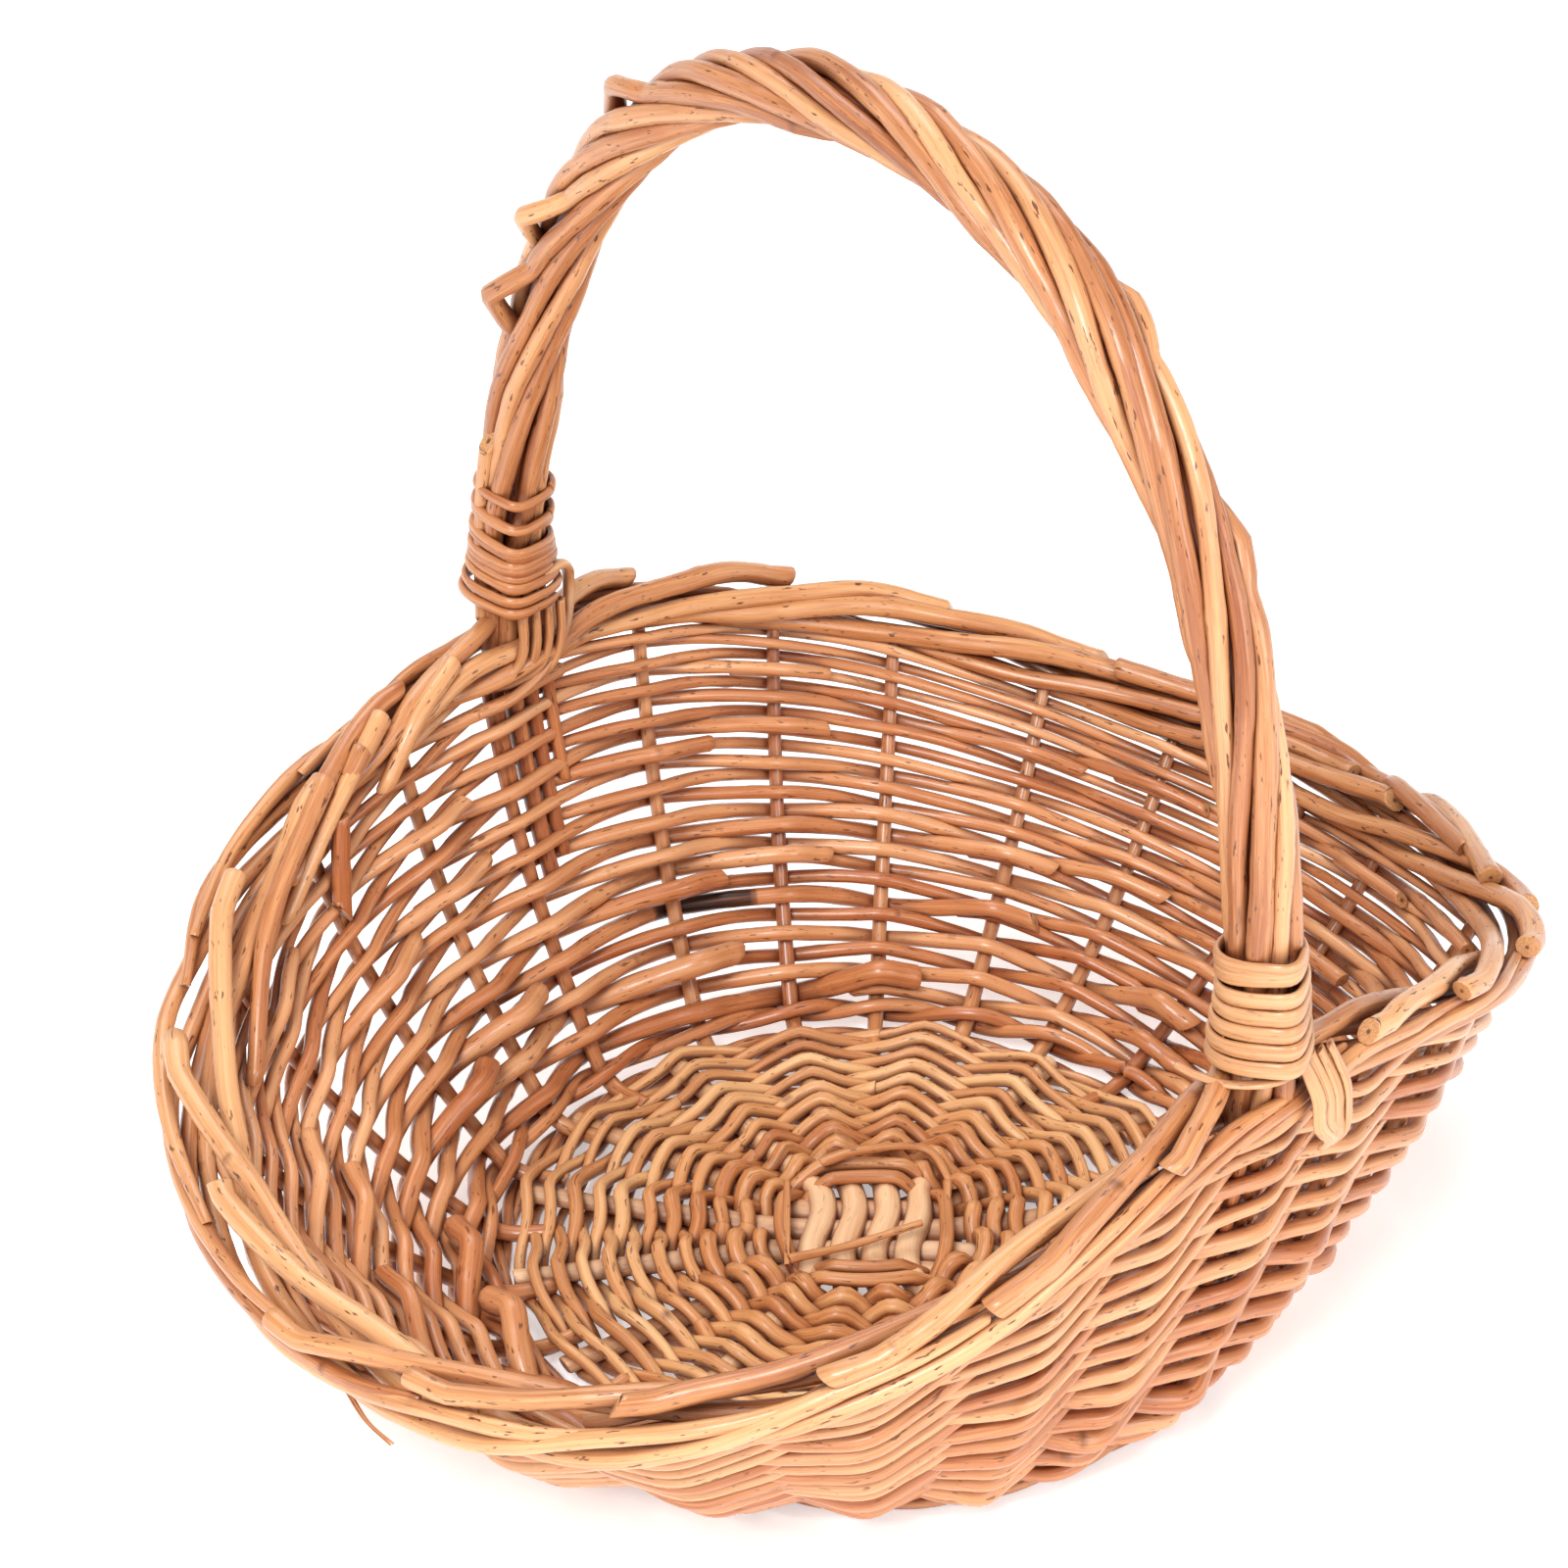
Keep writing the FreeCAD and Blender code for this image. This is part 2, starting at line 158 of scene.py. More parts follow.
class Rods:
    """Rods gathered into one mesh, with what the willow materials read: `fibre` is the place along and
    across the rod, `look` is its tone, its warmth, how near a knot is, and whether it is a cut end."""

    def __init__(self):
        self.points, self.faces, self.fibre, self.look, self.flat = [], [], [], [], []
        self.count = 0

    def ring(self, ring, along, section, look):
        self.points.append(ring)
        self.fibre.append(np.column_stack([np.full(len(ring), along), section]))
        self.look.append(look)
        self.count += len(ring)
        return self.count - len(ring)

    def add(self, line, radius, sides=10, facing=None, thin=1.0, tone=None, warm=0.0, slant=(0.3, 0.3),
            knots=True, lumps=0.035, closed=False, marks=None):
        n = len(line)
        radius = np.broadcast_to(np.asarray(radius, float), (n,)).copy()
        tone = chance.uniform(0, 1) if tone is None else tone
        warm = np.broadcast_to(np.asarray(warm, float), (n,))
        if closed:
            along = unit(np.roll(line, -1, 0) - np.roll(line, 1, 0))
        else:
            along = unit(np.gradient(line, axis=0))
        s = np.concatenate([[0.0], np.cumsum(np.linalg.norm(np.diff(line, axis=0), axis=1))])
        if facing is None:
            side = np.array([0.0, 0.0, 1.0]) if abs(along[0][2]) < 0.9 else np.array([1.0, 0.0, 0.0])
            facing = np.empty_like(line)
            for i in range(n):
                side = side - along[i] * side.dot(along[i])
                side = side / max(np.linalg.norm(side), 1e-9)
                facing[i] = side
        else:
            facing = unit(facing - along * (facing * along).sum(1)[:, None])
        across = np.cross(along, facing)
        if not closed:
            radius *= 1 + lumps * ripple(s, 38.0) + 0.4 * lumps * ripple(s, 11.0)
        turn = 2 * np.pi * np.arange(sides) / sides
        grow = np.ones((n, sides))
        near = np.zeros((n, sides))
        if knots and not closed:
            at = chance.uniform(*first_knot)
            while at < s[-1] - 6:
                where = chance.uniform(0, 2 * np.pi)
                around = np.clip(np.cos(turn - where), 0, 1)[None, :] ** 2
                size = chance.uniform(*knot_swell)
                grow += size * bell(s, at, knot_length)[:, None] * around
                near = np.maximum(near, bell(s, at, 2.0)[:, None] * around * chance.uniform(0.3, 1.0))
                at += chance.uniform(*knot_gap)
        if marks is not None:
            near = np.maximum(near, marks[:, None])
        up = np.cos(turn)[None, :] * radius[:, None] * grow * thin
        out = np.sin(turn)[None, :] * radius[:, None] * grow
        rings = line[:, None, :] + facing[:, None, :] * up[..., None] + across[:, None, :] * out[..., None]
        shift = chance.uniform(0, 4000)
        look = np.zeros((n, sides, 4))
        look[..., 0] = tone
        look[..., 1] = warm[:, None]
        look[..., 2] = near
        if not closed:
            for end, sign in ((0, -1.0), (n - 1, 1.0)):
                lean = slant[0 if end == 0 else 1]
                rings[end] += along[end] * (sign * lean * up[end])[:, None]
        base = self.count
        for i in range(n):
            self.ring(rings[i], s[i] + shift, np.column_stack([up[i], out[i]]), look[i])
        j = np.arange(sides)
        k = (j + 1) % sides
        for i in range(n if closed else n - 1):
            a = base + i * sides
            b = base + ((i + 1) % n) * sides
            self.faces.append(np.column_stack([a + j, a + k, b + k, b + j]))
            self.flat.append(np.zeros(sides, bool))
        if closed:
            return
        for end, sign in ((0, -1.0), (n - 1, 1.0)):
            cut = look[end].copy()
            cut[:, 3] = 1.0
            section = np.column_stack([up[end], out[end]])
            soft = (rings[end] - line[end]) * 0.9 + line[end] + along[end] * sign * 0.12 * radius[end]
            a = base + end * sides
            b = self.ring(soft, s[end] + shift, section * 0.9, cut)
            middle = self.ring(soft.mean(0)[None], s[end] + shift, np.zeros((1, 2)), cut[:1])
            order = (j, k) if sign > 0 else (k, j)
            self.faces.append(np.column_stack([a + order[0], a + order[1], b + order[1], b + order[0]]))
            tip = np.full(sides, middle)
            self.faces.append(np.column_stack([b + order[0], b + order[1], tip, tip]))
            self.flat += [np.zeros(sides, bool), np.ones(sides, bool)]

    def piece(self, name, material, slot, replaces=()):
        """Makes the object, in metres, riding on the basket's one body."""
        faces = np.vstack(self.faces)
        flat = np.concatenate(self.flat)
        three = faces[:, 2] == faces[:, 3]
        size = np.where(three, 3, 4)
        starts = np.concatenate([[0], np.cumsum(size)[:-1]])
        keep = np.ones(faces.shape, bool)
        keep[three, 3] = False
        corners = faces[keep]
        mesh = bpy.data.meshes.new(name)
        mesh.vertices.add(self.count)
        places = np.vstack(self.points) * 0.001 + base_middle
        mesh.vertices.foreach_set("co", places.astype(np.float32).ravel())
        mesh.loops.add(len(corners))
        mesh.loops.foreach_set("vertex_index", corners.astype(np.int32))
        mesh.polygons.add(len(faces))
        mesh.polygons.foreach_set("loop_start", starts.astype(np.int32))
        mesh.polygons.foreach_set("loop_total", size.astype(np.int32))
        mesh.polygons.foreach_set("use_smooth", ~flat)
        mesh.update(calc_edges=True)
        fibre = mesh.attributes.new("fibre", "FLOAT_VECTOR", "POINT")
        fibre.data.foreach_set("vector", np.vstack(self.fibre).astype(np.float32).ravel())
        look = mesh.attributes.new("look", "FLOAT_COLOR", "POINT")
        look.data.foreach_set("color", np.vstack(self.look).astype(np.float32).ravel())
        mesh.validate()
        mesh.materials.append(material)
        obj = bpy.data.objects.new(name, mesh)
        bpy.context.scene.collection.objects.link(obj)
        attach(obj, "root")
        if replaces:
            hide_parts(*replaces)
        return obj


# ---- materials ---------------------------------------------------------------------------------

def srgb(r, g, b):
    return tuple(((c / 255.0) / 12.92 if c <= 10 else (((c / 255.0) + 0.055) / 1.055) ** 2.4)
                 for c in (r, g, b)) + (1.0,)


class Nodes:
    """Makes shader nodes; an input is given by its name, or as i0, i1 ... by its number."""

    def __init__(self, material):
        self.tree = material.node_tree
        self.tree.nodes.clear()

    def new(self, kind, **inputs):
        node = self.tree.nodes.new(kind)
        for key, value in inputs.items():
            socket = node.inputs[int(key[1:]) if key.startswith("i") else key.replace("_", " ")]
            if isinstance(value, bpy.types.NodeSocket):
                self.tree.links.new(value, socket)
            else:
                socket.default_value = value
        return node

    def scaled(self, vector, scale):
        node = self.new("ShaderNodeVectorMath", i0=vector, i1=scale)
        node.operation = "MULTIPLY"
        return node.outputs[0]

    def noise(self, vector, scale, detail=2.0, rough=0.5):
        node = self.new("ShaderNodeTexNoise", Vector=self.scaled(vector, scale), Scale=1.0, Detail=detail,
                        Roughness=rough)
        return node.outputs["Fac"]

    def math(self, op, a, b=0.0, clamp=False):
        node = self.new("ShaderNodeMath", i0=a, i1=b)
        node.operation = op
        node.use_clamp = clamp
        return node.outputs[0]

    def between(self, value, low, high, to_low=0.0, to_high=1.0):
        node = self.new("ShaderNodeMapRange", i0=value, i1=low, i2=high, i3=to_low, i4=to_high)
        return node.outputs[0]

    def mix(self, factor, a, b, kind="MIX"):
        node = self.tree.nodes.new("ShaderNodeMix")
        node.data_type = "RGBA"
        node.blend_type = kind
        for socket, value in ((node.inputs[0], factor), (node.inputs[6], a), (node.inputs[7], b)):
            if isinstance(value, bpy.types.NodeSocket):
                self.tree.links.new(value, socket)
            else:
                socket.default_value = value
        return node.outputs[2]


painted_shade_reach = 0.010        # how close rods must lie to get painted shade from each other, in metres
# how far the painted shade darkens the colour
painted_shade_depth = 0.85


def willow(name, pale, middle, deep, warm, rough=0.36, coat=0.45, specks=1.0, grain=1.0):
    """Peeled or buff willow: long streaks, slow blotches, dark flecks and knots, pale cut ends, and painted
    shade between rods.
    """
    m = bpy.data.materials.new(name)
    m.use_nodes = True
    n = Nodes(m)
    fibre = n.new("ShaderNodeAttribute")
    fibre.attribute_name = "fibre"
    look = n.new("ShaderNodeAttribute")
    look.attribute_name = "look"
    split = n.new("ShaderNodeSeparateColor", Color=look.outputs["Color"])
    tone, warmth, knot = split.outputs[0], split.outputs[1], split.outputs[2]
    cut = look.outputs["Alpha"]
    f = fibre.outputs["Vector"]
    slow = n.noise(f, (0.012, 0.12, 0.12), 2.0)
    streak = n.noise(f, (0.022, 0.75, 0.75), 3.0, 0.6)
    fine = n.noise(f, (0.06, 3.2, 3.2), 3.0, 0.65)
    value = n.math("ADD", n.math("MULTIPLY", tone, 0.42), n.math("MULTIPLY", slow, 0.62))
    value = n.math("ADD", value, n.math("MULTIPLY", n.between(streak, 0.35, 0.65, -0.5, 0.5), 0.26))
    value = n.math("ADD", value, n.math("MULTIPLY", n.between(fine, 0.3, 0.7, -0.5, 0.5), 0.22 * grain))
    ramp = n.new("ShaderNodeValToRGB", Fac=value)
    ramp.color_ramp.interpolation = "B_SPLINE"
    stops = ramp.color_ramp.elements
    stops[0].position, stops[0].color = 0.16, deep
    stops[1].position, stops[1].color = 0.88, pale
    stop = stops.new(0.5)
    stop.color = middle
    warm_share = n.math("MULTIPLY", warmth, 0.8)
    warmed = n.mix(1.0, ramp.outputs[0], warm, "MULTIPLY")
    colour = n.mix(warm_share, ramp.outputs[0], warmed)
    fleck = n.noise(f, (0.20, 0.95, 0.95), 2.0, 0.6)
    fleck = n.between(fleck, 0.635, 0.69, 0.0, 0.8 * specks)
    patch = n.noise(f, (0.045, 0.30, 0.30), 3.0, 0.62)
    patch = n.between(patch, 0.66, 0.78, 0.0, 0.6 * specks)
    dark = n.math("MAXIMUM", fleck, patch)
    dark = n.math("MAXIMUM", dark, n.between(knot, 0.35, 0.9, 0.0, 0.85))
    colour = n.mix(dark, colour, srgb(112, 62, 32))
    bark = n.between(knot, 1.2, 1.9, 0.0, 1.0)
    bark = n.math("MULTIPLY", bark, n.between(streak, 0.32, 0.45, 0.2, 1.0))
    colour = n.mix(bark, colour, srgb(52, 24, 16))
    rings = n.new("ShaderNodeVectorMath", i0=n.scaled(f, (0.0, 1.0, 1.0)))
    rings.operation = "LENGTH"
    pith = n.between(rings.outputs["Value"], 0.35, 0.7, 1.0, 0.0)
    face = n.mix(pith, n.mix(n.between(fine, 0.35, 0.65), srgb(176, 116, 68), srgb(216, 164, 112)),
                 srgb(110, 66, 36))
    colour = n.mix(cut, colour, face)
    # painted shade: the colour is darkened towards a deep brown where rods lie close together, found by
    # ambient occlusion
    painted_shade_ao = n.new("ShaderNodeAmbientOcclusion", Distance=painted_shade_reach)
    painted_shade_ao.samples = 8
    shade = n.between(painted_shade_ao.outputs["AO"], 0.12, 0.72, painted_shade_depth, 0.0)
    colour = n.mix(shade, colour, n.mix(1.0, colour, srgb(132, 66, 38), "MULTIPLY"))
    bump_height = n.math("ADD", n.math("MULTIPLY", streak, 0.5), n.math("MULTIPLY", fine, 0.5))
    bump = n.new("ShaderNodeBump", Strength=0.55, Distance=0.0004, Height=bump_height)
    shader = n.new("ShaderNodeBsdfPrincipled", Normal=bump.outputs[0], i0=colour,
                   Roughness=n.between(fine, 0.2, 0.8, rough - 0.08, rough + 0.14))
    shader.inputs["Coat Weight"].default_value = coat
    shader.inputs["Coat Roughness"].default_value = 0.2
    shader.inputs["Specular IOR Level"].default_value = 0.5
    result = n.new("ShaderNodeOutputMaterial")
    n.tree.links.new(shader.outputs[0], result.inputs["Surface"])
    return m


# what the warmer rods' colour is multiplied by
warm_brown = (0.88, 0.66, 0.47, 1.0)
weaver_willow = willow("willow_weaver", srgb(238, 188, 140), srgb(216, 146, 94), srgb(166, 90, 48),
                       warm_brown)
stake_willow = willow("willow_stake", srgb(234, 182, 130), srgb(208, 138, 86), srgb(162, 88, 46),
                      warm_brown)
border_willow = willow("willow_border", srgb(238, 190, 138), srgb(214, 148, 94), srgb(160, 88, 46),
                       warm_brown, specks=1.25)
handle_willow = willow("willow_handle", srgb(232, 182, 132), srgb(206, 140, 90), srgb(150, 82, 44),
                       warm_brown, specks=1.25)
binding_willow = willow("willow_binding", srgb(230, 182, 132), srgb(208, 146, 96), srgb(164, 98, 56),
                        warm_brown, specks=0.5, grain=1.5)
base_willow = willow("willow_base_weave", srgb(246, 206, 150), srgb(224, 160, 104), srgb(176, 106, 58),
                     warm_brown, rough=0.46, coat=0.2, grain=1.3)
stick_willow = willow("willow_base_stick", srgb(250, 214, 170), srgb(238, 184, 136), srgb(204, 142, 94),
                      warm_brown, rough=0.48, coat=0.12, specks=0.4, grain=1.2)

# ---- stakes and side weave ---------------------------------------------------------------------
stake_radius = 2.0           # where the weavers pass it; the stakes taper a little round this
stake_butt, stake_tip = 2.35, 1.9
stake_top = 0.955            # share of the wall at which the stakes end, inside the border
stake_groups = 4
# how far each stake has wandered from even spacing at its foot, and further by its top, in degrees
stake_wander = chance.uniform(-0.9, 0.9, stake_count)
stake_twist = chance.uniform(-1.0, 1.0, stake_count)
for i, foot, top in ((8, -0.5, 0.0), (7, 0.2, 0.0), (6, 2.0, 0.3), (5, -2.0, -2.4), (4, -2.6, -2.4),
                     (3, -1.2, -0.8), (2, -1.0, -0.5), (1, 0.3, 0.0), (0, 0.0, 0.4), (23, 2.6, 2.0)):
    stake_wander[i], stake_twist[i] = foot, top


def stake_angle(place, share):
    """Azimuth of a place counted in stakes: 0 is the first stake, 0.5 midway to the second."""
    marks = np.arange(-stake_count, 3 * stake_count)
    wander = np.interp(place, marks, np.tile(stake_wander, 4))
    twist = np.interp(place, marks, np.tile(stake_twist, 4))
    return first_stake + stake_pitch * place + wander + twist * share


def make_stakes():
    in_group = stake_count // stake_groups
    for group in range(stake_groups):
        rods = Rods()
        for i in range(group * in_group, (group + 1) * in_group):
            share = np.linspace(0.0, stake_top, 52)
            az = stake_angle(i + 0.0 * share, share)
            line = wall(az, share)
            foot = wall(np.array([az[0]]), np.array([0.0]))[0]
            inward = -np.array([cosd(az[0]), sind(az[0]), 0.0])
            lead = smooth_line([foot + inward * 16, foot + inward * 6 + [0, 0, -0.6], line[1]], 2.0)
            line = np.vstack([lead[:-1], line[1:]])
            rods.add(line, np.linspace(stake_butt, stake_tip, len(line)), warm=0.35)
        rods.piece("stakes_%d" % (group + 1), stake_willow, "buff_stake", ["stakes_%d" % (group + 1)])


row_total = 23
row_radius = np.linspace(2.85, 1.8, row_total) + chance.uniform(-0.12, 0.12, row_total)
row_place = np.concatenate([[0.0], np.cumsum(row_radius[1:] + row_radius[:-1])])
row_place /= row_place[-1]
border_reach = 8.3
side_swing = 1.08            # how far a weaver goes round a stake, against just touching it
upsett_rise = 2.6
lead, trail = 0.42, 0.38     # how far a weaver runs past its first and last stake, in stakes
thick_rows = 5               # the lowest rows start with heavy butts
thin_side = 20.0             # azimuth at which the weavers are thinnest


def row_share(row, az):
    """Share of the wall at which a row of weaving runs."""
    slant = wall_slant(az)
    low = upsett_rise + 2.4 + row_radius[0] + 0.2
    high = slant - border_reach - row_radius[-1] * 0.6
    drift = 0.9 * np.sin(np.radians(2 * az + 40)) + 0.7 * np.sin(np.radians(3 * az - 70 + 14 * row))
    drift = drift * row_place[row] * (1.2 - row_place[row])
    return (low + (high - low) * row_place[row] + drift) / slant


# one weaver keeps a patch of dark bark between two stakes: its row, azimuth, half-width and strength
bark_row, bark_middle, bark_reach, bark_depth = 5, 70.0, 7.5, 2.2


def make_side_weave():
    for row in range(row_total):
        rods = Rods()
        radius = row_radius[row]
        parity = row % 2
        rods_here = 2 if row % 3 else 3
        first = (7 * row + 3) % stake_count
        first += (first + parity + 1) % 2
        bounds = [first + 2 * round(k * stake_count / rods_here / 2) for k in range(rods_here)]
        bounds.append(first + stake_count)
        for a, b in zip(bounds, bounds[1:]):
            place = np.arange(a - lead, b + trail, 0.055)
            az = stake_angle(place, 0.5)
            share = row_share(row, az)
            az = stake_angle(place, share)
            out = wall_out(az, share)
            up = wall_up(az, share)
            t = (place - place[0]) / (place[-1] - place[0])
            thinner = 0.04 * cosd(az) ** 2 + 0.05 * cosd(az - 140.0)
            thinner = thinner + 0.15 * bell(turn_from(az, thin_side), 0, 45)
            thick = radius * (1.0 - thinner)
            if row < thick_rows:
                thick = thick * (1.02 + 0.34 * (1 - ease(t, 0.0, 0.35)) - 0.20 * t)
            else:
                thick = thick * (1.13 - 0.30 * t)
            phase = np.pi * (place + parity)
            swing = weave(phase) * (stake_radius + thick) * side_swing
            lap = 1 - ease(place, a - 0.1, a + 0.9)
            swing -= lap * thick * 1.75
            lift = lap * 0.5 * thick + 0.6 * ripple(place, 3.6)
            line = wall(az, share) + out * swing[:, None] + up * lift[:, None]
            # painted shade: lower rows are made darker and more orange to stand for shade inside the basket,
            # with a random share per rod
            warm = 0.15 + 0.55 * (1 - row / (row_total - 1.0)) * chance.uniform(0.5, 1.0)
            bark = bark_depth * (1 - ease(np.abs(turn_from(az, bark_middle)), bark_reach - 1, bark_reach))
            marks = bark if row == bark_row else None
            rods.add(line, thick, sides=10, warm=warm, slant=(chance.uniform(-0.9, 0.9), 0.6), marks=marks)
        node = "side_row_%02d" % (row + 1)
        real = [node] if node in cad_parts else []
        rods.piece("weave_row_%02d" % (row + 1), weaver_willow, "buff_weaver", real)


upsett_radius = 2.0
foot_radius, foot_level, foot_turns = 97.3, 3.15, 10     # the three-rod ring the basket stands on
foot_rod_radius = 1.55


def make_upsett():
    rods = Rods()
    for strand in range(2):
        place = np.arange(0, stake_count, 0.07)
        az = stake_angle(place, 0.02)
        phase = np.pi * (place + strand)
        swing = np.cos(phase) * (stake_radius + upsett_radius) * 0.95
        rise = upsett_rise + np.sin(phase) * 1.1
        share = rise / wall_slant(az)
        line = wall(az, share) + wall_out(az, share) * swing[:, None]
        rods.add(line, upsett_radius, warm=0.7, closed=True)
    rods.piece("upsett_pair", weaver_willow, "buff_weaver", ["upsett_round"])
    rods = Rods()
    for strand in range(3):
        az = np.arange(0, 360, 1.25)
        turn = foot_turns * az + 120 * strand
        r = foot_radius + 1.75 * cosd(turn)
        z = foot_level + 1.6 * sind(turn)
        line = np.stack([r * cosd(az), r * sind(az), z], -1)
        rods.add(line, foot_rod_radius, warm=0.6, closed=True)
    rods.piece("foot_round", weaver_willow, "buff_weaver", ["foot_ring"])


# ---- base --------------------------------------------------------------------------------------
stick_turn = 48.3
stick_radius = 3.4
stick_ends = 16
slath_step = 8.6
crossing_lean = 0.3          # slope of the split sticks where they cross the others
stick_reach = 93.5
first_open_round = 29.0
last_open_round = 92.5
open_rounds = 20
tie_rounds = 3               # rounds that tie the crossing before the sticks are spread
half_gap = 180.0 / stick_ends
base_pieces = 7              # the tie rounds, and the open ones in six pieces


def turned(line, turn, level=base_level):
    x = line[:, 0] * cosd(turn) - line[:, 1] * sind(turn)
    y = line[:, 0] * sind(turn) + line[:, 1] * cosd(turn)
    return np.stack([x, y, line[:, 2] + level], -1)


def make_base_sticks():
    for kind, turn, rise, thin in (("split", stick_turn, 1.4, 0.95),
                                   ("through", stick_turn + 90.0, -1.4, 0.8)):
        for place in range(4):
            offset = (place - 1.5) * slath_step
            fan = (place - 1.5) * 2 * half_gap
            half = [(0.0, offset, rise), (11.0, offset, rise), (18.0, offset * 1.04, rise * 0.9)]
            for reach in (first_open_round, 38.0, 56.0, 74.0, stick_reach):
                half.append((reach * cosd(fan), reach * sind(fan), rise * (1 - reach / stick_reach) * 0.8))
            line = [(-x, y, z) for x, y, z in reversed(half[1:])] + half
            line = smooth_line(line, 2.5)
            if kind == "split":
                line[:, 1] -= crossing_lean * line[:, 0] * bell(line[:, 0], 0.0, 15.0)
            line = turned(line, turn + chance.uniform(-0.8, 0.8))
            reach = np.linalg.norm(line[:, :2], axis=1)
            radius = stick_radius * (1.06 - 0.24 * ease(reach, 15, 90))
            rods = Rods()
            facing = np.tile(np.array([[0.0, 0.0, 1.0]]), (len(line), 1))
            rods.add(line, radius, sides=14, facing=facing, thin=thin, tone=chance.uniform(0.5, 1.0),
                     lumps=0.05)
            node = "base_%s_stick_%d" % (kind, place + 1)
            rods.piece(node + "_willow", stick_willow, "peeled_stick", [node])


def make_base_weave():
    pieces = [Rods() for _ in range(base_pieces)]
    # a few rounds tie the crossing: over one bundle of four sticks, under the next
    for number in range(tie_rounds):
        az = np.arange(0, 360, 3.0)
        half = 19.0 + 2.7 * number + 0.7 * ripple(az, 180.0) * bell(az, 180.0, 120.0)
        squareness = 3.4 - 0.15 * number
        local = az - stick_turn
        square = np.abs(cosd(local)) ** squareness + np.abs(sind(local)) ** squareness
        r = half / square ** (1 / squareness)
        side = 1.0 if number % 2 == 0 else -1.0
        wave = np.clip(1.6 * cosd(2 * local), -1, 1)
        z = side * wave * (5.6 + 0.3 * number / 2)
        line = np.stack([r * cosd(az), r * sind(az), z + base_level], -1)
        pieces[0].add(line, 1.95, sides=10, tone=chance.uniform(0.1, 0.7), warm=0.5, closed=True)
    step = (last_open_round - first_open_round) / (open_rounds - 1)
    for number in range(open_rounds):
        az = np.arange(0, 363.0, 1.6 if number > 5 else 2.4)
        r = first_open_round + step * number + 0.45 * np.sin(np.radians(az * 3 + 50 * number))
        r = r + 0.4 * ripple(az, 70.0)
        side = 1.0 if number % 2 == 0 else -1.0
        from_gap = az - stick_turn - half_gap
        wave = weave(np.radians(from_gap * stick_ends / 2))
        radius = np.interp(number, [0, open_rounds - 1], [2.35, 1.55]) * chance.uniform(0.93, 1.08)
        z = side * wave * (stick_radius * 0.9 + radius) * 0.96
        local = from_gap % (2 * half_gap) - half_gap
        chord = r * (cosd(half_gap) / cosd(local) - 1.0)
        zigzag = chord + 0.8 * side * np.sin(np.radians(from_gap * stick_ends))
        line = np.stack([(r + zigzag) * cosd(az), (r + zigzag) * sind(az), z], -1)
        # a round starts anywhere, moved by whole pairs of gaps so that it still passes the sticks
        begin = chance.uniform(0, 360)
        line = turned(line, round(begin / 45.0) * 45.0)
        tone = chance.uniform(0.1, 0.9) if number > 7 else chance.uniform(0.0, 0.6)
        warm = 0.6 if number < 10 else 0.15
        rods = pieces[1 + number * (base_pieces - 1) // open_rounds]
        rods.add(line, np.linspace(radius * 1.15, radius * 0.85, len(line)), sides=10, tone=tone, warm=warm)
    for i, rods in enumerate(pieces):
        name = "base_weave_%d" % (i + 1)
        rods.piece(name + "_willow", base_willow, "pale_split_willow", [name])


# ---- border ------------------------------------------------------------------------------------
border_groups = 6
border_strands = 6           # rods side by side anywhere in the rope
first_angles = (32.0, 50.0, 72.0)        # where a rod starts round the rope
hidden_middle, hidden_reach = 122.0, 30.0    # here the butts are tucked inside
border_rod_radius = 2.75
rope_radius = 5.7
last_angle = 382.0           # where a rod ends round the rope, tucked under the next butt
loose_left, loose_middle = 2.4, 165.0    # how much looser the rope is at the left end of the view


def from_foot(az):
    """Degrees from the nearer handle foot."""
    return np.abs((az + 180.0) % 180.0 - 90.0)


def border_middle(az):
    return wall(az, 1.0)


def round_border(az, angle, radius):
    """Points of the border's rope; angle 0 is outwards and 90 is up. The rods part at the handle."""
    along = unit(border_middle(az + 0.5) - border_middle(az - 0.5))
    up = unit(np.array([0.0, 0.0, 1.0]) - along * along[..., 2:3])
    out = np.cross(along, up)
    near = bell(from_foot(az), 0.0, 6.5)
    angle = angle - 26.0 * sind(2 * angle) * near
    radius = radius + 3.6 * near
    away = out * cosd(angle)[..., None] + up * sind(angle)[..., None]
    return border_middle(az) + away * radius[..., None]


def through_border(marks, step):
    """A curve through points given as azimuth, angle round the rope and distance from its middle."""
    az, angle, reach = np.array(marks, float).T
    return smooth_line(round_border(az, angle, reach), step)


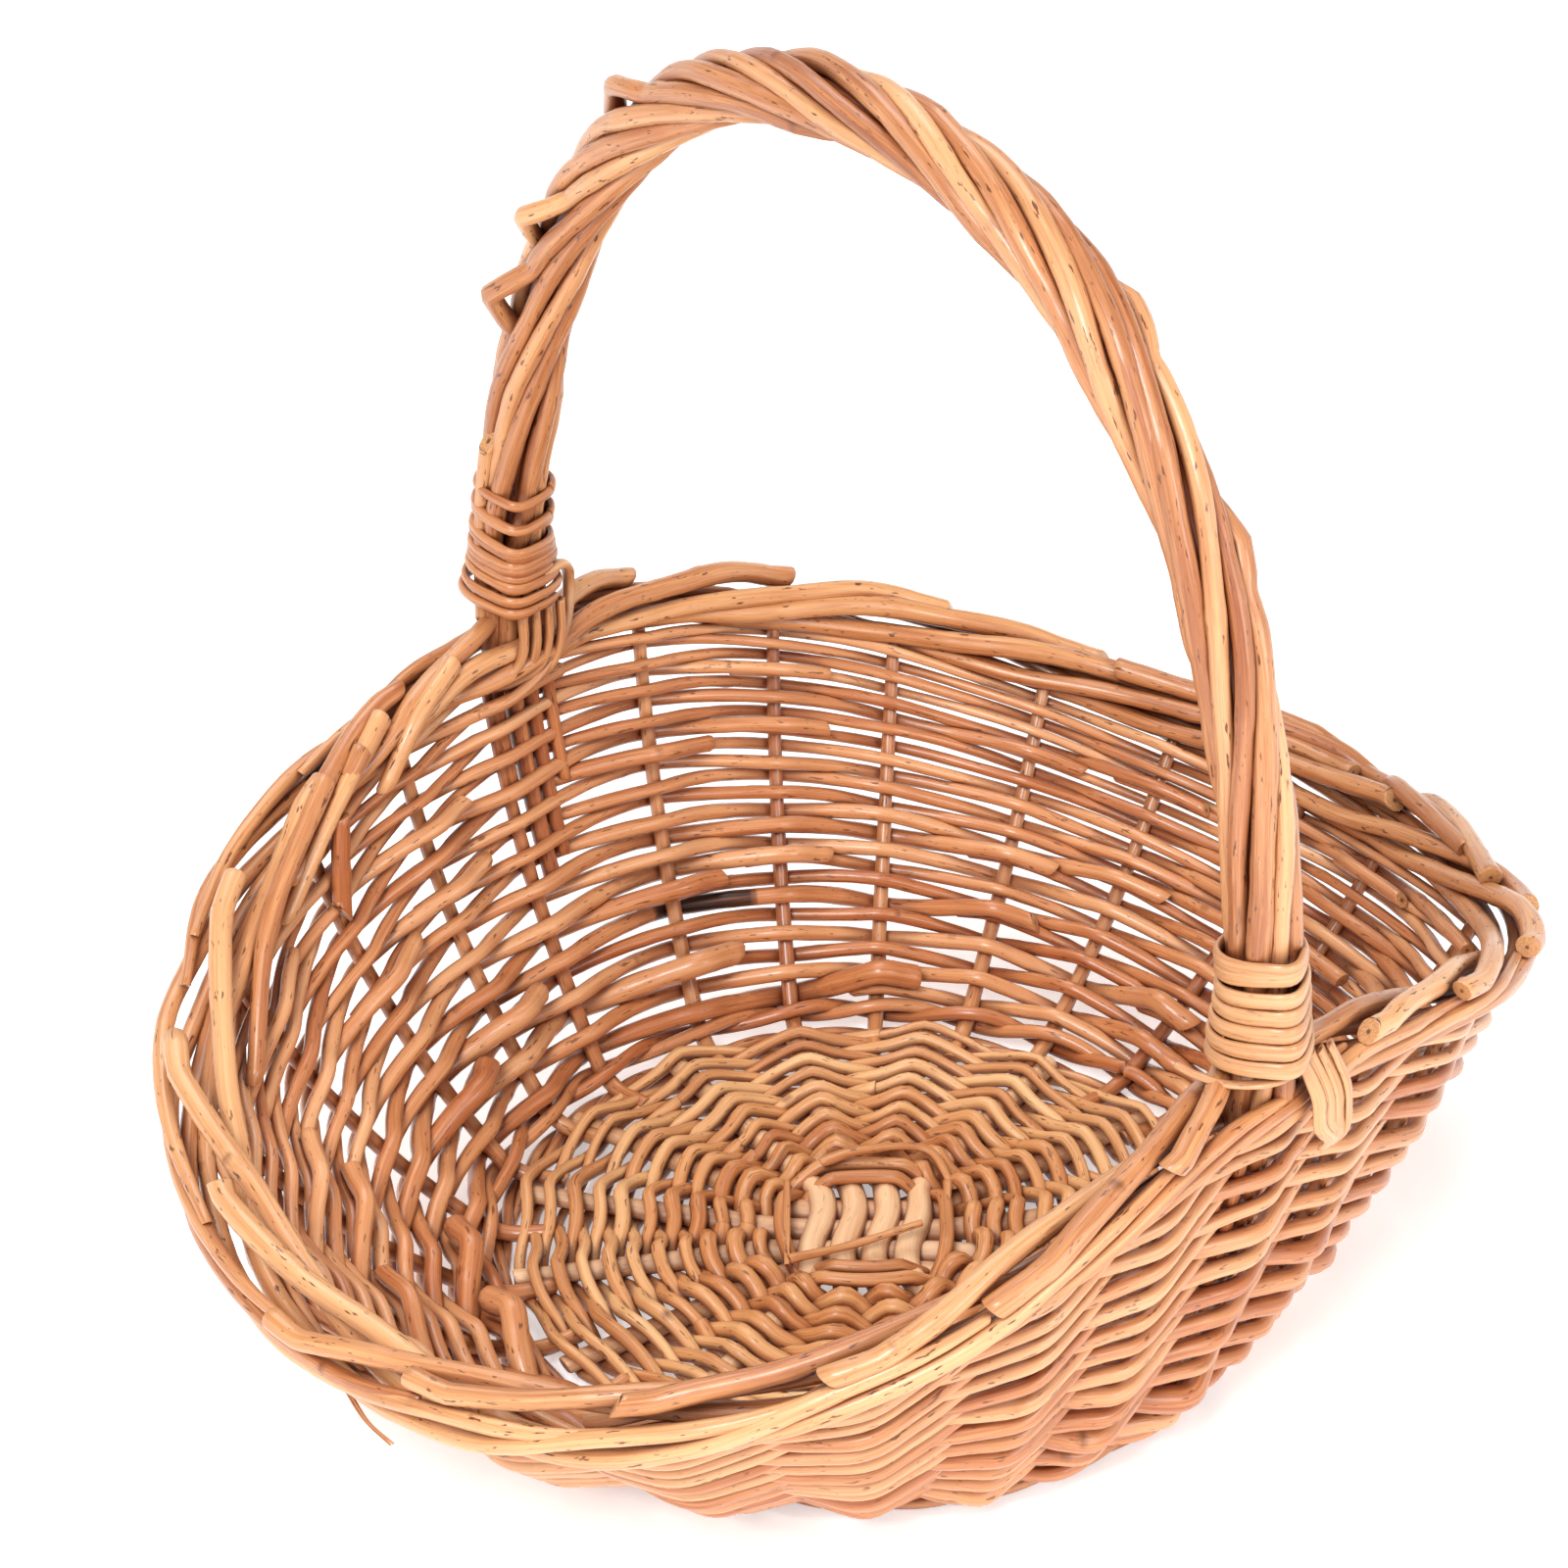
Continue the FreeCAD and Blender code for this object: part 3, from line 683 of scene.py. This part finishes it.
def make_border():
    groups = [Rods() for _ in range(border_groups)]
    span = border_strands * stake_pitch
    for number in range(stake_count):
        start = stake_angle(np.array([float(number)]), 1.0)[0] + chance.uniform(-2, 2)
        butt = chance.uniform(1.0, 6.0)
        tail = chance.uniform(-6.0, 3.0)
        turn = np.arange(-butt, span + tail, 0.6)
        t = (turn + butt) / (span + tail + butt)
        hidden = bell(turn_from(start, 0.0), hidden_middle, hidden_reach)
        first = chance.choice(first_angles) + chance.uniform(-8, 8) + 70.0 * hidden
        # it crosses over the top quickly and comes back slowly along the outside
        done = 1.0 - (1.0 - np.clip(turn / span, 0.0, 1.0)) ** 1.5
        angle = first + (last_angle - first) * done + 12.0 * ripple(turn, 55.0)
        taper = 1.13 - 0.34 * t - 0.28 * ease(t, 0.85, 1.0)
        radius = border_rod_radius * taper * chance.uniform(0.92, 1.08)
        loose = loose_left * bell(turn_from(start + turn, loose_middle), 0.0, 50.0)
        reach = rope_radius + 0.8 * ripple(turn, 36.0) + loose
        reach = reach + (1 - hidden) * chance.uniform(0.6, 2.6) * (1 - ease(turn, -butt, 12.0))
        reach = reach - chance.uniform(1.0, 2.6) * ease(turn, span - 14, span + tail)
        line = round_border(start + turn, angle, reach)
        groups[number % border_groups].add(line, radius, sides=12, warm=chance.uniform(0, 0.35),
                                           slant=(chance.uniform(-0.9, 0.9), 0.5),
                                           thin=chance.uniform(0.88, 1.0))
    for i, rods in enumerate(groups):
        name = "border_rods_%d" % (i + 1)
        rods.piece(name + "_willow", border_willow, "buff_border_rod", [name])


def make_border_ends():
    """Long ends of border rods that come out on the inside of the far left, cut off at a slant."""
    rods = Rods()
    for marks in (((100, 125, 8.5), (107, 170, 9.5), (113, 222, 14.0)),
                  ((110, 130, 8.5), (121, 185, 10.5), (130.5, 228, 15.0)),
                  ((114, 150, 9.0), (121, 190, 10.0), (127.5, 215, 11.0)),
                  ((119, 140, 9.0), (134, 180, 11.5), (147, 228, 20.0))):
        line = through_border(marks, 1.8)
        rods.add(line, np.linspace(2.9, 2.3, len(line)), sides=12, warm=0.25, slant=(0.3, 1.1))
    # and a dark one that hangs further down
    line = through_border(((120.0, 195.0, 12.0), (122.5, 225.0, 19.0), (125.0, 238.0, 29.0)), 1.8)
    rods.add(line, 2.6, sides=12, warm=1.0, tone=0.0, slant=(0.3, 1.2))
    rods.piece("border_inner_ends", border_willow, "buff_border_rod")


def make_border_folds():
    """At the end on the right of the view, three rods fold back sharply over the border."""
    rods = Rods()
    for marks in (((24, 96, 9.0), (14, 70, 10.0), (5, 38, 12.5), (0, 10, 12.0), (-8, 40, 9.5),
                   (-20, 70, 9.0)),
                  ((12, 70, 9.5), (3, 30, 12.0), (-2.5, 0, 13.0), (-7, 55, 10.0), (-22, 95, 9.0)),
                  ((-30, 100, 9.0), (-17, 60, 10.0), (-9, 22, 12.5), (-5, -20, 12.0))):
        line = through_border(marks, 1.6)
        rods.add(line, np.linspace(3.1, 2.5, len(line)), sides=12, warm=0.1)
    rods.piece("border_folds", border_willow, "buff_border_rod")


# ---- handle ------------------------------------------------------------------------------------
handle_top = 331.5
handle_top_shift = -2.0
arch_fullness = 2.2
foot_inset = 0.5
handle_rods = 8
handle_rod_radius = 2.45
twist_radius = 6.5
handle_turns = 2.35          # turns of the twist from foot to foot
core_radius = 4.3
core_depth = 14.0            # how far the middle rod runs down past the handle's feet


def foot_at(az):
    p = wall(np.array([az]), 1.0)[0]
    return p - np.array([cosd(az), sind(az), 0.0]) * foot_inset


far_foot, near_foot = foot_at(90.0), foot_at(-90.0)


def arch_line():
    """The handle's middle line, from the far foot over the top to the near foot."""
    a = np.linspace(0.0, 180.0, 1200)
    c, s = cosd(a), np.clip(sind(a), 0, 1)
    reach = np.sign(c) * np.abs(c) ** (2.0 / arch_fullness)
    rise = s ** (2.0 / arch_fullness)
    half = (far_foot[1] - near_foot[1]) / 2
    level = (far_foot[2] * (1 + reach) + near_foot[2] * (1 - reach)) / 2
    y = (far_foot[1] + near_foot[1]) / 2 + half * reach + handle_top_shift * rise
    return even(np.stack([0 * a, y, level + (handle_top - level) * rise], -1), 2.5)


arch = arch_line()
arch_s = np.concatenate([[0.0], np.cumsum(np.linalg.norm(np.diff(arch, axis=0), axis=1))])
arch_length = arch_s[-1]
sideways = np.array([1.0, 0.0, 0.0])


def on_arch(s):
    """Middle, direction and outward side of the handle at a distance from the far foot."""
    inside = np.clip(s, 1.0, arch_length - 1.0)
    middle = np.stack([np.interp(inside, arch_s, arch[:, k]) for k in range(3)], -1)
    ahead = np.stack([np.interp(inside + 1, arch_s, arch[:, k]) for k in range(3)], -1)
    behind = np.stack([np.interp(inside - 1, arch_s, arch[:, k]) for k in range(3)], -1)
    along = unit(ahead - behind)
    middle = middle + along * (s - inside)[..., None]
    return middle, along, np.cross(along, np.broadcast_to(sideways, along.shape))


def twist(s, number):
    """Angle of a handle rod round the handle: it turns most over the top."""
    t = np.clip(s / arch_length, 0, 1)
    turns = handle_turns * (0.86 * t * t * (3 - 2 * t) + 0.14 * t)
    return -360.0 * (turns + number / handle_rods)


def round_handle(s, angle, radius):
    """angle 0 is away from the basket's middle, 90 is towards +X."""
    middle, along, outward = on_arch(s)
    radius = np.broadcast_to(radius, s.shape)
    away = outward * cosd(angle)[..., None] + sideways * sind(angle)[..., None]
    return middle + away * radius[..., None]


# bent rods that stand out of the twist: distance from the far foot, direction round the handle,
# how far they stand out, and the half-length of the bend
kinks = ((113, -47, 8.5, 12), (143, -52, 8.0, 11), (188, -35, 5.5, 12), (355, 62, 5.0, 13),
         (412, 72, 3.0, 10))


def make_handle():
    bow = Rods()
    s = np.arange(-core_depth, arch_length + core_depth, 2.5)
    bow.add(on_arch(s)[0], core_radius, sides=12, warm=1.0, tone=0.0)
    bow.piece("handle_core", handle_willow, "buff_handle_rod", ["handle_bow"])
    bends = {}
    for place, direction, rise, half in kinks:
        off = [abs(turn_from(twist(place, k), direction)) for k in range(handle_rods)]
        bends.setdefault(int(np.argmin(off)), []).append((place, rise, half))
    for number in range(handle_rods):
        low, high = chance.uniform(-8, -4), chance.uniform(4, 8)
        s = np.arange(low, arch_length + high, 1.8)
        t = s / arch_length
        angle = twist(s, number) + 8 * ripple(s, 210.0)
        radius = handle_rod_radius * chance.uniform(0.94, 1.08) * (1.08 - chance.uniform(-0.1, 0.2) * t)
        reach = twist_radius + 0.7 * ripple(s, 95.0)
        for place, rise, half in bends.get(number, ()):
            reach = reach + rise * np.clip(1 - np.abs(s - place) / half, 0, 1) ** 0.75
        line = round_handle(s, angle, reach)
        rods = Rods()
        rods.add(line, radius, sides=12, warm=chance.uniform(0, 0.3), slant=(0.5, -0.5), lumps=0.05)
        node = "handle_rod_%d" % (number + 1)
        rods.piece(node + "_willow", handle_willow, "buff_handle_rod", [node])
    # three thinner rods laid in from a foot and cut off part of the way up
    rods = Rods()
    for low, high, direction, reach in ((8.0, 66.0, -70.0, 8.6),
                                        (arch_length - 96, arch_length - 6, 95.0, 8.4),
                                        (arch_length - 190, arch_length - 90, 100.0, 7.9)):
        s = np.arange(low, high, 1.8)
        line = round_handle(s, direction + 10 * ripple(s, 160.0), reach)
        rods.add(line, 2.3, sides=12, warm=0.2, slant=(1.2, 1.3))
    rods.piece("handle_laid_in_rods", handle_willow, "buff_handle_rod")


def make_handle_legs():
    """Ends of the handle rods, pushed down into the wall beside the stakes."""
    rods = Rods()
    for az, foot in ((90.0, far_foot), (-90.0, near_foot)):
        sign = np.sign(az)
        for shift, depth, size, inset in ((-3.6, 0.34, 2.2, 1.6), (-1.2, 0.5, 2.6, 0.9),
                                          (1.2, 0.56, 2.9, 0.7), (3.7, 0.3, 2.1, 1.4)):
            share = np.linspace(0.9, 1 - depth, 12)
            around = np.full(12, az + shift)
            inside = wall(around, share) - wall_out(around, share) * inset
            top = foot + np.array([-shift * 1.1 * sign, 0.0, 12.0])
            middle = foot + np.array([-shift * 1.9 * sign, -1.5 * sign, 0.0])
            line = smooth_line(np.vstack([[top], [middle], inside[1:]]), 2.0)
            rods.add(line, np.linspace(size, size * 0.85, len(line)), sides=12, warm=1.0, tone=0.0)
    rods.piece("handle_legs", handle_willow, "buff_handle_rod")


def winding(foot, heights, half_wide, start, corner, tilt):
    """A split wound round a foot of the handle: heights and half-widths are given turn by turn.
    It bends more sharply where it passes over the corner of the bundle."""
    turns = len(heights) - 1
    a = np.arange(0.0, 360.0 * turns, 6.0)
    count = np.arange(turns + 1)
    at = np.interp(a / 360.0, count, heights) + tilt * cosd(a + start - corner)
    wide = np.interp(a / 360.0, count, half_wide) + 0.25 * ripple(a, 300.0)
    place = at if foot == "far" else arch_length - at
    angle = a + start
    away = turn_from(angle, corner)
    squeezed = 0.06 * bell(away, 60.0, 30.0) + 0.06 * bell(away, -60.0, 30.0)
    line = round_handle(place, angle, wide * (1.0 + 0.20 * bell(away, 0.0, 20.0) - squeezed))
    return line, line - on_arch(place)[0]


def make_bindings():
    rods = Rods()
    heights = (16.5, 19.8, 23.4, 28.6, 32.0, 40.5, 50.0, 51.0)
    wide = (13.4, 13.0, 12.2, 11.4, 10.9, 10.4, 10.2, 10.2)
    line, facing = winding("far", heights, wide, 150.0, 215.0, 1.3)
    # painted shade: the far binding's split gets a low tone and high warmth, darker than the near binding
    rods.add(line, 1.55, sides=10, facing=facing, thin=0.72, knots=False, tone=0.25, lumps=0.10, warm=0.9)
    # a second, shorter split lies between the turns of the first
    heights = (26.4, 30.4, 34.0, 42.3, 43.0)
    wide = (11.5, 11.2, 10.8, 10.4, 10.4)
    line, facing = winding("far", heights, wide, 150.0, 215.0, 1.0)
    # painted shade here too: a low tone and high warmth darken this split
    rods.add(line, 1.4, sides=10, facing=facing, thin=0.75, knots=False, tone=0.4, lumps=0.10, warm=0.8)
    rods.piece("binding_far", binding_willow, "binding_split", ["handle_binding_far"])
    rods = Rods()
    heights = (9.6, 14.2, 18.6, 22.9, 27.2, 31.6, 37.6, 38.4)
    wide = (12.3, 12.2, 11.7, 11.2, 10.8, 10.5, 10.3, 10.3)
    line, facing = winding("near", heights, wide, 30.0, -15.0, 0.8)
    rods.add(line, 2.2, sides=12, facing=facing, thin=0.46, knots=False, tone=0.6, lumps=0.05, warm=0.0)
    rods.piece("binding_near", binding_willow, "binding_split", ["handle_binding_near"])
    # the loose tail of the near binding, and the loop of the far one
    rods = Rods()
    tail = near_foot + smooth_line([(6, -9.5, 12.0), (-5, -10.5, 10.5), (-12.5, -3, 8.8), (-16.0, 5, 8.8),
                                    (-17.5, 10, 9.6)], 1.5)
    rods.add(tail, np.linspace(1.7, 1.1, len(tail)), sides=10, thin=0.5, knots=False, tone=0.6)
    rods.piece("binding_near_tail", binding_willow, "binding_split")
    rods = Rods()
    loop = far_foot + smooth_line([(2, -11.0, 25), (11.5, -8.5, 23.5), (16.0, -5.0, 15.0),
                                   (11.5, -8.5, 4.5), (3.0, -10.5, -4.0), (-8.0, -10.5, -9.5),
                                   (-19.0, -8.5, -12.0)], 1.5)
    rods.add(loop, np.linspace(1.9, 1.5, len(loop)), sides=10, thin=0.75, knots=False, tone=0.5, warm=0.2)
    rods.piece("binding_far_loop", binding_willow, "binding_split")


def make_ties():
    """Strands of the bindings that go on down over the border."""
    rods = Rods()
    for i in range(4):
        x = 8.0 - 4.3 * i
        bend = far_foot + smooth_line([(x, -11.2, 15.0), (x - 0.5, -11.8, 5.0),
                                       (x - 3.0, -10.8, -3.5 + i * 0.8), (x - 9.0, -8.0, -8.5 + i * 1.6),
                                       (x - 15.0, -5.0, -10.0 + i * 2.0)], 1.5)
        rods.add(bend, 1.6, sides=10, thin=0.8, knots=False, tone=chance.uniform(0.3, 0.7), lumps=0.08,
                 warm=0.2)
    rods.piece("tie_far", binding_willow, "binding_split", ["handle_tie_far"])
    rods = Rods()
    for i in range(4):
        x = 4.5 + 3.2 * i
        down = near_foot + smooth_line([(x - 2.5, -10.8, 13.0), (x - 0.8, -12.0, 8.5),
                                        (x + 0.4, -14.6, 2.0), (x + 0.2, -15.8, -5.0),
                                        (6.5 + 0.55 * x, -15.4, -10.5), (8.5 + 0.35 * x, -12.5, -15.0)], 1.5)
        facing = down - (near_foot + [9.0, -4.0, -4.0])
        rods.add(down, 1.75, sides=10, facing=facing, thin=0.5, knots=False, tone=chance.uniform(0.5, 0.9),
                 lumps=0.06)
    rods.piece("tie_near", binding_willow, "binding_split", ["handle_tie_near"])


def make_loose_ends():
    """Loose fibres on the outside of the left end, and loose splits on the base's crossing."""
    rods = Rods()
    for az, share, length, tone in ((176.0, 0.84, 34.0, 0.4), (179.5, 0.90, 28.0, 0.6)):
        p = wall(np.array([az]), share)[0] + wall_out(np.array([az]), share)[0] * 6.0
        t = np.array([-sind(az), cosd(az), 0.0])
        line = smooth_line([p, p + t * length * 0.35 + [0, 0, -2], p + t * length * 0.7 + [-1, 0, -5.5],
                            p + t * length + [0, 0, -7.5]], 1.2)
        rods.add(line, np.linspace(0.5, 0.3, len(line)), sides=6, thin=0.6, knots=False, tone=tone,
                 lumps=0.0)
    rods.piece("loose_fibres", binding_willow, "buff_weaver")
    rods = Rods()
    for points, radius in ((((5, 23, 17.5), (16, 18.6, 18.5), (31, 9.2, 16.5), (28.5, -4.4, 12.0)), 1.7),
                           (((-29.5, -3.2, 18.5), (-12, -8.3, 17.0), (5.9, -15.4, 19.0)), 1.6),
                           (((-6.3, 24.1, 16.0), (-18, 11.0, 15.0), (-29.3, -1.8, 15.5)), 1.1),
                           (((26.7, -3.6, 15.0), (18.0, -12.5, 14.5), (9.0, -21.5, 14.5)), 1.2)):
        line = smooth_line(np.array(points), 1.5)
        rods.add(line, np.linspace(radius, radius * 0.7, len(line)), sides=10, thin=0.7, tone=0.3, warm=0.5,
                 lumps=0.1)
    rods.piece("base_loose_splits", base_willow, "pale_split_willow")


make_stakes()
make_upsett()
make_side_weave()
make_base_sticks()
make_base_weave()
make_border()
make_border_folds()
make_border_ends()
make_handle()
make_handle_legs()
make_bindings()
make_ties()
make_loose_ends()

# ---- floor, light and camera -------------------------------------------------------------------
# in metres, radians and watts
floor_reach, cove_radius, wall_top, floor_sides = 6.0, 0.6, 2.0, 64
floor_grey, floor_glow, world_light = 0.93, 0.42, 0.34
lamps = (("key", (-1.35, -0.75, 1.7), 0.7, 37.0),
         ("fill", (0.1, -1.9, 1.0), 0.8, 16.0),
         ("top", (0.4, 0.9, 2.1), 1.2, 21.0))
lamp_target = Vector((0, 0, 0.1))
camera_yaw, camera_pitch, camera_turn = -0.0228, 0.5723, math.radians(-42.9)
camera_back, camera_height = 0.94326, 0.75111        # from the middle of the base's upper side
camera_lens, sensor_width = 103.4865, 36.0           # in millimetres


def make_floor():
    """A round floor that curves up into a low wall all round, so that the horizon stays pale."""
    bends = [math.radians(a) for a in range(0, 91, 10)]
    profile = [(floor_reach + cove_radius * math.sin(a), cove_radius * (1 - math.cos(a))) for a in bends]
    profile.append((floor_reach + cove_radius, wall_top))
    turns = [2 * math.pi * k / floor_sides for k in range(floor_sides)]
    points = [(0.0, 0.0, 0.0)] + [(r * math.cos(a), r * math.sin(a), z) for r, z in profile for a in turns]
    ahead = [(k + 1) % floor_sides for k in range(floor_sides)]
    faces = [(0, 1 + k, 1 + ahead[k]) for k in range(floor_sides)]
    for row in range(len(profile) - 1):
        a, b = 1 + row * floor_sides, 1 + (row + 1) * floor_sides
        faces += [(a + k, a + ahead[k], b + ahead[k], b + k) for k in range(floor_sides)]
    mesh = bpy.data.meshes.new("floor")
    mesh.from_pydata(points, [], faces)
    material = bpy.data.materials.new("floor_white")
    material.use_nodes = True
    shader = material.node_tree.nodes["Principled BSDF"]
    shader.inputs["Base Color"].default_value = (floor_grey, floor_grey, floor_grey, 1)
    shader.inputs["Roughness"].default_value = 0.9
    shader.inputs["Emission Color"].default_value = (1, 1, 1, 1)
    shader.inputs["Emission Strength"].default_value = floor_glow
    mesh.materials.append(material)
    floor = bpy.data.objects.new("floor", mesh)
    bpy.context.scene.collection.objects.link(floor)


def make_lights():
    world = bpy.data.worlds.new("studio")
    world.use_nodes = True
    background = world.node_tree.nodes["Background"]
    background.inputs[0].default_value = (1, 1, 1, 1)
    background.inputs[1].default_value = world_light
    bpy.context.scene.world = world
    for name, place, size, power in lamps:
        light = bpy.data.lights.new(name, "AREA")
        light.shape = "SQUARE"
        light.size = size
        light.energy = power
        lamp = bpy.data.objects.new(name, light)
        lamp.location = place
        lamp.rotation_euler = (lamp_target - Vector(place)).to_track_quat("-Z", "Y").to_euler()
        bpy.context.scene.collection.objects.link(lamp)


def make_camera():
    """At the photograph's angle: about 1.2 m away, looking down on the basket from its front left."""
    ahead = Vector((math.sin(camera_yaw) * math.cos(camera_pitch),
                    math.cos(camera_yaw) * math.cos(camera_pitch),
                    -math.sin(camera_pitch)))
    right = Vector((math.cos(camera_yaw), -math.sin(camera_yaw), 0.0))
    rotate = Matrix.Rotation(camera_turn, 3, "Z")
    ahead, right = rotate @ ahead, rotate @ right
    up = right.cross(ahead)
    middle = Vector((0, base_middle[1], base_level * 0.001))
    place = rotate @ Vector((0.0, -camera_back, camera_height)) + middle
    data = bpy.data.cameras.new("camera")
    data.sensor_width = sensor_width
    data.lens = camera_lens
    data.clip_start, data.clip_end = 0.05, 50.0
    camera = bpy.data.objects.new("camera", data)
    camera.matrix_world = Matrix.Translation(place) @ Matrix((right, up, -ahead)).transposed().to_4x4()
    bpy.context.scene.collection.objects.link(camera)
    bpy.context.scene.camera = camera


make_floor()
make_lights()
make_camera()
bpy.context.scene.view_settings.view_transform = "Standard"
